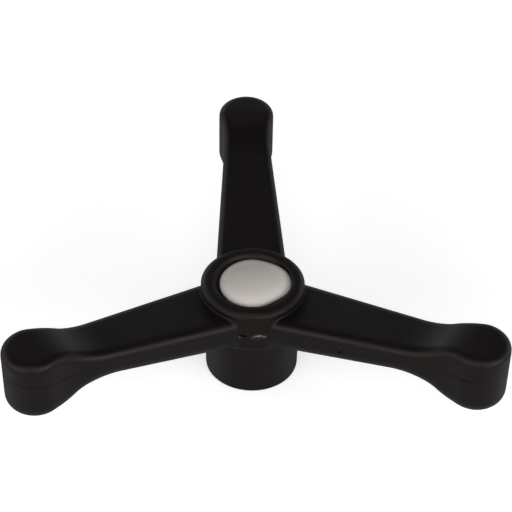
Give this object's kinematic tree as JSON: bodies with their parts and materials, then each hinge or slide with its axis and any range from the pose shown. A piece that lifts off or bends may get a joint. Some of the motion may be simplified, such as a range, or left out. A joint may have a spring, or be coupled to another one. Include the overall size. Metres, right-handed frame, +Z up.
{
  "type": "clamp handwheel",
  "caption": "Clamp handwheel with rising radial arms that end in round knobs, a collared hub with a domed cover cap, and a blind tapped boss that opens in the hub's underside.",
  "frame": {"origin": "centre of the hub's bottom face, on the hub axis", "axes": "+Z up the hub axis, from the clamped side to the cover cap; +Y along one arm"},
  "size_m": [0.1408, 0.1243, 0.0415],
  "materials": {
    "moulded_plastic": "black glass-filled plastic with a fine moulded texture",
    "boss_steel": "turned steel",
    "cap_plastic": "pale warm grey plastic, satin"
  },
  "bodies": {
    "root": {"handwheel_body": "moulded_plastic", "threaded_boss": "boss_steel", "cover_cap": "cap_plastic"}
  },
  "joints": []
}
